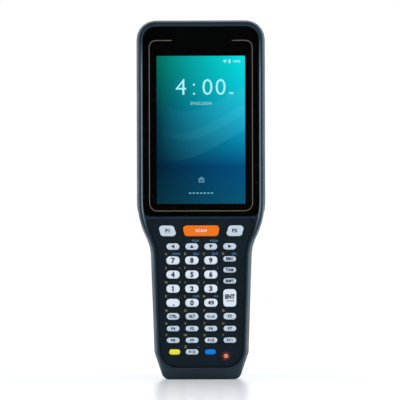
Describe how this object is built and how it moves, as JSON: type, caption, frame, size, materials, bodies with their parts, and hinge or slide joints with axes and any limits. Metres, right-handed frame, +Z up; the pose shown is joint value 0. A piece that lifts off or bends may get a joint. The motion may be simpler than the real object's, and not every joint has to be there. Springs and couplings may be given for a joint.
{
  "type": "portable barcode data terminal",
  "caption": "Straight handheld data terminal: large touch screen in a deep head, full keypad on a slim grip, scan window in the top end, battery in the back.",
  "frame": {"origin": "middle of the base, half way between front and back", "axes": "+Z up along the body, X across the screen, -Y out of the screen"},
  "size_m": [0.0808, 0.037, 0.226],
  "materials": {
    "housing_slate": "fine moulded texture, satin",
    "bumper_rubber": "soft overmould, matt",
    "seal_rubber": "matt",
    "cover_glass": "polished, printed black border",
    "display": "lit screen",
    "panel_black": "fine texture",
    "mat_silicone": "matt",
    "dome_steel": "satin",
    "board_green": "solder resist",
    "chassis_alloy": "cast, matt",
    "engine_alloy": "anodised",
    "scan_glass": "polished, dark red",
    "battery_black": "fine texture",
    "latch_orange": "satin",
    "contact_gold": "gold plated",
    "speaker_black": "matt",
    "camera_glass": "polished",
    "screw_steel": "black zinc",
    "key_white": "satin",
    "key_grey": "satin",
    "key_orange": "satin",
    "key_yellow": "satin",
    "key_blue": "satin",
    "key_red": "satin"
  },
  "bodies": {
    "terminal": {"front_housing": "housing_slate", "rear_housing": "housing_slate", "head_bumper": "bumper_rubber", "housing_gasket": "seal_rubber", "touch_glass": "cover_glass", "display_module": "display", "keypad_panel": "panel_black", "keypad_mat": "mat_silicone", "snap_domes": "dome_steel", "keypad_board": "board_green", "inner_chassis": "chassis_alloy", "main_board": "board_green", "scan_engine": "engine_alloy", "scan_window": "scan_glass", "battery_contacts": "contact_gold", "dock_contacts": "contact_gold", "speaker": "speaker_black", "rear_camera": "camera_glass", "housing_screws": "screw_steel"},
    "key_0": {"key_0": "key_white"},
    "key_1": {"key_1": "key_white"},
    "key_2": {"key_2": "key_white"},
    "key_3": {"key_3": "key_white"},
    "key_4": {"key_4": "key_white"},
    "key_5": {"key_5": "key_white"},
    "key_6": {"key_6": "key_white"},
    "key_7": {"key_7": "key_white"},
    "key_8": {"key_8": "key_white"},
    "key_9": {"key_9": "key_white"},
    "key_point": {"key_point": "key_white"},
    "key_backspace": {"key_backspace": "key_white"},
    "key_f1": {"key_f1": "key_grey"},
    "key_f2": {"key_f2": "key_grey"},
    "key_f3": {"key_f3": "key_grey"},
    "key_f4": {"key_f4": "key_grey"},
    "key_f5": {"key_f5": "key_grey"},
    "key_f6": {"key_f6": "key_grey"},
    "key_f7": {"key_f7": "key_grey"},
    "key_f8": {"key_f8": "key_grey"},
    "key_f9": {"key_f9": "key_grey"},
    "key_f10": {"key_f10": "key_grey"},
    "key_f11": {"key_f11": "key_grey"},
    "key_f12": {"key_f12": "key_grey"},
    "key_left": {"key_left": "key_grey"},
    "key_up": {"key_up": "key_grey"},
    "key_down": {"key_down": "key_grey"},
    "key_right": {"key_right": "key_grey"},
    "key_escape": {"key_escape": "key_grey"},
    "key_tab": {"key_tab": "key_grey"},
    "key_shift": {"key_shift": "key_grey"},
    "key_enter": {"key_enter": "key_grey"},
    "key_control": {"key_control": "key_grey"},
    "key_alt": {"key_alt": "key_grey"},
    "key_space": {"key_space": "key_grey"},
    "key_scan": {"key_scan": "key_orange"},
    "key_yellow": {"key_yellow": "key_yellow"},
    "key_blue": {"key_blue": "key_blue"},
    "key_power": {"key_power": "key_red"},
    "battery_pack": {"battery_pack": "battery_black"},
    "battery_latch": {"battery_latch": "latch_orange"}
  },
  "joints": [
    {"name": "battery_lift", "type": "slide", "parent": "terminal", "child": "battery_pack", "axis": [0, 1, 0], "range_m": [0, 0.014]},
    {"name": "latch_slide", "type": "slide", "parent": "terminal", "child": "battery_latch", "axis": [0, 0, 1], "range_m": [0, 0.003]},
    {"name": "key_0_press", "type": "slide", "parent": "terminal", "child": "key_0", "axis": [0, 1, 0], "range_m": [0, 0.0008], "stiffness_N_per_m": 1200},
    {"name": "key_1_press", "type": "slide", "parent": "terminal", "child": "key_1", "axis": [0, 1, 0], "range_m": [0, 0.0008], "stiffness_N_per_m": 1200},
    {"name": "key_2_press", "type": "slide", "parent": "terminal", "child": "key_2", "axis": [0, 1, 0], "range_m": [0, 0.0008], "stiffness_N_per_m": 1200},
    {"name": "key_3_press", "type": "slide", "parent": "terminal", "child": "key_3", "axis": [0, 1, 0], "range_m": [0, 0.0008], "stiffness_N_per_m": 1200},
    {"name": "key_4_press", "type": "slide", "parent": "terminal", "child": "key_4", "axis": [0, 1, 0], "range_m": [0, 0.0008], "stiffness_N_per_m": 1200},
    {"name": "key_5_press", "type": "slide", "parent": "terminal", "child": "key_5", "axis": [0, 1, 0], "range_m": [0, 0.0008], "stiffness_N_per_m": 1200},
    {"name": "key_6_press", "type": "slide", "parent": "terminal", "child": "key_6", "axis": [0, 1, 0], "range_m": [0, 0.0008], "stiffness_N_per_m": 1200},
    {"name": "key_7_press", "type": "slide", "parent": "terminal", "child": "key_7", "axis": [0, 1, 0], "range_m": [0, 0.0008], "stiffness_N_per_m": 1200},
    {"name": "key_8_press", "type": "slide", "parent": "terminal", "child": "key_8", "axis": [0, 1, 0], "range_m": [0, 0.0008], "stiffness_N_per_m": 1200},
    {"name": "key_9_press", "type": "slide", "parent": "terminal", "child": "key_9", "axis": [0, 1, 0], "range_m": [0, 0.0008], "stiffness_N_per_m": 1200},
    {"name": "key_point_press", "type": "slide", "parent": "terminal", "child": "key_point", "axis": [0, 1, 0], "range_m": [0, 0.0008], "stiffness_N_per_m": 1200},
    {"name": "key_backspace_press", "type": "slide", "parent": "terminal", "child": "key_backspace", "axis": [0, 1, 0], "range_m": [0, 0.0008], "stiffness_N_per_m": 1200},
    {"name": "key_f1_press", "type": "slide", "parent": "terminal", "child": "key_f1", "axis": [0, 1, 0], "range_m": [0, 0.0008], "stiffness_N_per_m": 1200},
    {"name": "key_f2_press", "type": "slide", "parent": "terminal", "child": "key_f2", "axis": [0, 1, 0], "range_m": [0, 0.0008], "stiffness_N_per_m": 1200},
    {"name": "key_f3_press", "type": "slide", "parent": "terminal", "child": "key_f3", "axis": [0, 1, 0], "range_m": [0, 0.0008], "stiffness_N_per_m": 1200},
    {"name": "key_f4_press", "type": "slide", "parent": "terminal", "child": "key_f4", "axis": [0, 1, 0], "range_m": [0, 0.0008], "stiffness_N_per_m": 1200},
    {"name": "key_f5_press", "type": "slide", "parent": "terminal", "child": "key_f5", "axis": [0, 1, 0], "range_m": [0, 0.0008], "stiffness_N_per_m": 1200},
    {"name": "key_f6_press", "type": "slide", "parent": "terminal", "child": "key_f6", "axis": [0, 1, 0], "range_m": [0, 0.0008], "stiffness_N_per_m": 1200},
    {"name": "key_f7_press", "type": "slide", "parent": "terminal", "child": "key_f7", "axis": [0, 1, 0], "range_m": [0, 0.0008], "stiffness_N_per_m": 1200},
    {"name": "key_f8_press", "type": "slide", "parent": "terminal", "child": "key_f8", "axis": [0, 1, 0], "range_m": [0, 0.0008], "stiffness_N_per_m": 1200},
    {"name": "key_f9_press", "type": "slide", "parent": "terminal", "child": "key_f9", "axis": [0, 1, 0], "range_m": [0, 0.0008], "stiffness_N_per_m": 1200},
    {"name": "key_f10_press", "type": "slide", "parent": "terminal", "child": "key_f10", "axis": [0, 1, 0], "range_m": [0, 0.0008], "stiffness_N_per_m": 1200},
    {"name": "key_f11_press", "type": "slide", "parent": "terminal", "child": "key_f11", "axis": [0, 1, 0], "range_m": [0, 0.0008], "stiffness_N_per_m": 1200},
    {"name": "key_f12_press", "type": "slide", "parent": "terminal", "child": "key_f12", "axis": [0, 1, 0], "range_m": [0, 0.0008], "stiffness_N_per_m": 1200},
    {"name": "key_left_press", "type": "slide", "parent": "terminal", "child": "key_left", "axis": [0, 1, 0], "range_m": [0, 0.0008], "stiffness_N_per_m": 1200},
    {"name": "key_up_press", "type": "slide", "parent": "terminal", "child": "key_up", "axis": [0, 1, 0], "range_m": [0, 0.0008], "stiffness_N_per_m": 1200},
    {"name": "key_down_press", "type": "slide", "parent": "terminal", "child": "key_down", "axis": [0, 1, 0], "range_m": [0, 0.0008], "stiffness_N_per_m": 1200},
    {"name": "key_right_press", "type": "slide", "parent": "terminal", "child": "key_right", "axis": [0, 1, 0], "range_m": [0, 0.0008], "stiffness_N_per_m": 1200},
    {"name": "key_escape_press", "type": "slide", "parent": "terminal", "child": "key_escape", "axis": [0, 1, 0], "range_m": [0, 0.0008], "stiffness_N_per_m": 1200},
    {"name": "key_tab_press", "type": "slide", "parent": "terminal", "child": "key_tab", "axis": [0, 1, 0], "range_m": [0, 0.0008], "stiffness_N_per_m": 1200},
    {"name": "key_shift_press", "type": "slide", "parent": "terminal", "child": "key_shift", "axis": [0, 1, 0], "range_m": [0, 0.0008], "stiffness_N_per_m": 1200},
    {"name": "key_enter_press", "type": "slide", "parent": "terminal", "child": "key_enter", "axis": [0, 1, 0], "range_m": [0, 0.0008], "stiffness_N_per_m": 1200},
    {"name": "key_control_press", "type": "slide", "parent": "terminal", "child": "key_control", "axis": [0, 1, 0], "range_m": [0, 0.0008], "stiffness_N_per_m": 1200},
    {"name": "key_alt_press", "type": "slide", "parent": "terminal", "child": "key_alt", "axis": [0, 1, 0], "range_m": [0, 0.0008], "stiffness_N_per_m": 1200},
    {"name": "key_space_press", "type": "slide", "parent": "terminal", "child": "key_space", "axis": [0, 1, 0], "range_m": [0, 0.0008], "stiffness_N_per_m": 1200},
    {"name": "key_scan_press", "type": "slide", "parent": "terminal", "child": "key_scan", "axis": [0, 1, 0], "range_m": [0, 0.0008], "stiffness_N_per_m": 1200},
    {"name": "key_yellow_press", "type": "slide", "parent": "terminal", "child": "key_yellow", "axis": [0, 1, 0], "range_m": [0, 0.0008], "stiffness_N_per_m": 1200},
    {"name": "key_blue_press", "type": "slide", "parent": "terminal", "child": "key_blue", "axis": [0, 1, 0], "range_m": [0, 0.0008], "stiffness_N_per_m": 1200},
    {"name": "key_power_press", "type": "slide", "parent": "terminal", "child": "key_power", "axis": [0, 1, 0], "range_m": [0, 0.0008], "stiffness_N_per_m": 1200}
  ]
}
